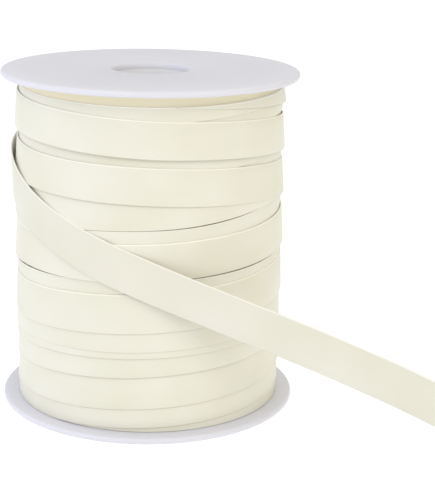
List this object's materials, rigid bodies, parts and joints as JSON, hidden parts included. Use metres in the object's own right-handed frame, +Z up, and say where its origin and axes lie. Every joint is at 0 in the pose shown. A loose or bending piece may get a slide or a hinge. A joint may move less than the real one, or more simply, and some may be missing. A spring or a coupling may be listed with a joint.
{
  "type": "roll of bias tape on a two-flange spool",
  "caption": "Two-flange plastic spool wound with folded satin bias tape, standing upright with its free end drawn off to one side.",
  "frame": {"origin": "on the spool's axis, at the underside of the lower flange, which stands on the surface", "axes": "+Z up along the spool's axis; the pictured front faces -Y; the free end of the tape leaves towards +X"},
  "size_m": [0.1703, 0.1223, 0.1155],
  "materials": {
    "spool_plastic": "smooth moulded plastic, pale lavender grey, soft sheen",
    "satin_tape": "ivory bias-cut satin, folded edges, soft lustre"
  },
  "bodies": {
    "root": {"spool_flange_bottom": "spool_plastic", "spool_flange_top": "spool_plastic", "spool_core": "spool_plastic", "tape_wound": "satin_tape", "tape_loose_end": "satin_tape"}
  },
  "joints": []
}
